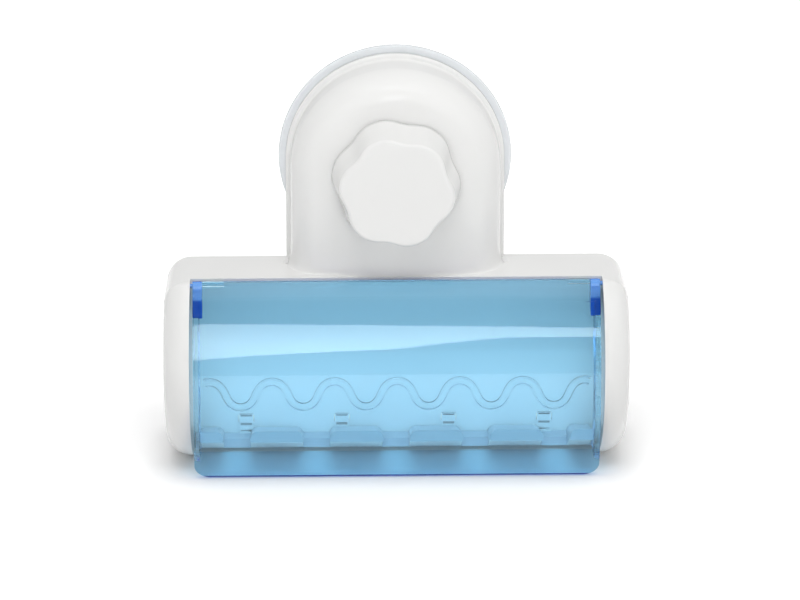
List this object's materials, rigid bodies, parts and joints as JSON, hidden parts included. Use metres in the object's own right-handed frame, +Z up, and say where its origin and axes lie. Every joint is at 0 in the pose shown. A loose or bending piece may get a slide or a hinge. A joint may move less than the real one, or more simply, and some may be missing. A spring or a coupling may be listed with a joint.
{
  "type": "toothbrush holder",
  "caption": "Wall toothbrush holder held by a suction cup with a twist knob; a half-round box has slots for brushes and a clear flip-up cover.",
  "frame": {"origin": "centre of the suction cup, on the wall plane", "axes": "+Y into the wall, -Y towards the user, +Z up, +X to the right seen from the front"},
  "size_m": [0.18, 0.0473, 0.165],
  "materials": {
    "white_abs": "satin gloss",
    "clear_blue": "clear, polished",
    "soft_clear_vinyl": "smooth, see-through",
    "white_nylon": "fine matt",
    "brass": "turned",
    "zinc_steel": "zinc plated"
  },
  "bodies": {
    "housing": {"body_shell": "white_abs", "back_plate": "white_abs", "comb_rack": "white_abs", "hinge_pin_left": "clear_blue", "hinge_pin_right": "clear_blue", "plate_screw_1": "zinc_steel", "plate_screw_2": "zinc_steel", "plate_screw_3": "zinc_steel", "plate_screw_4": "zinc_steel", "thrust_washer": "white_nylon", "suction_cup": "soft_clear_vinyl"},
    "cover": {"flip_cover": "clear_blue"},
    "knob_set": {"knob": "white_abs", "knob_nut": "brass", "nut_retainer": "white_nylon"},
    "stem": {"cup_stem": "white_nylon"}
  },
  "joints": [
    {"name": "cover_hinge", "type": "hinge", "parent": "housing", "child": "cover", "pos_m": [0, -0.0283, -0.0431], "axis": [-1, 0, 0], "range_deg": [0, 100]},
    {"name": "knob_turn", "type": "hinge", "parent": "housing", "child": "knob_set", "pos_m": [0, 0, 0], "axis": [0, 1, 0], "range_deg": [0, 270]},
    {"name": "stem_pull", "type": "slide", "parent": "housing", "child": "stem", "axis": [0, -1, 0], "range_m": [0, 0.0031], "deforming": ["suction_cup"]}
  ],
  "couplings": [
    {"joint": "stem_pull", "follows": "knob_turn", "m_per_rad": 0.00063662}
  ]
}
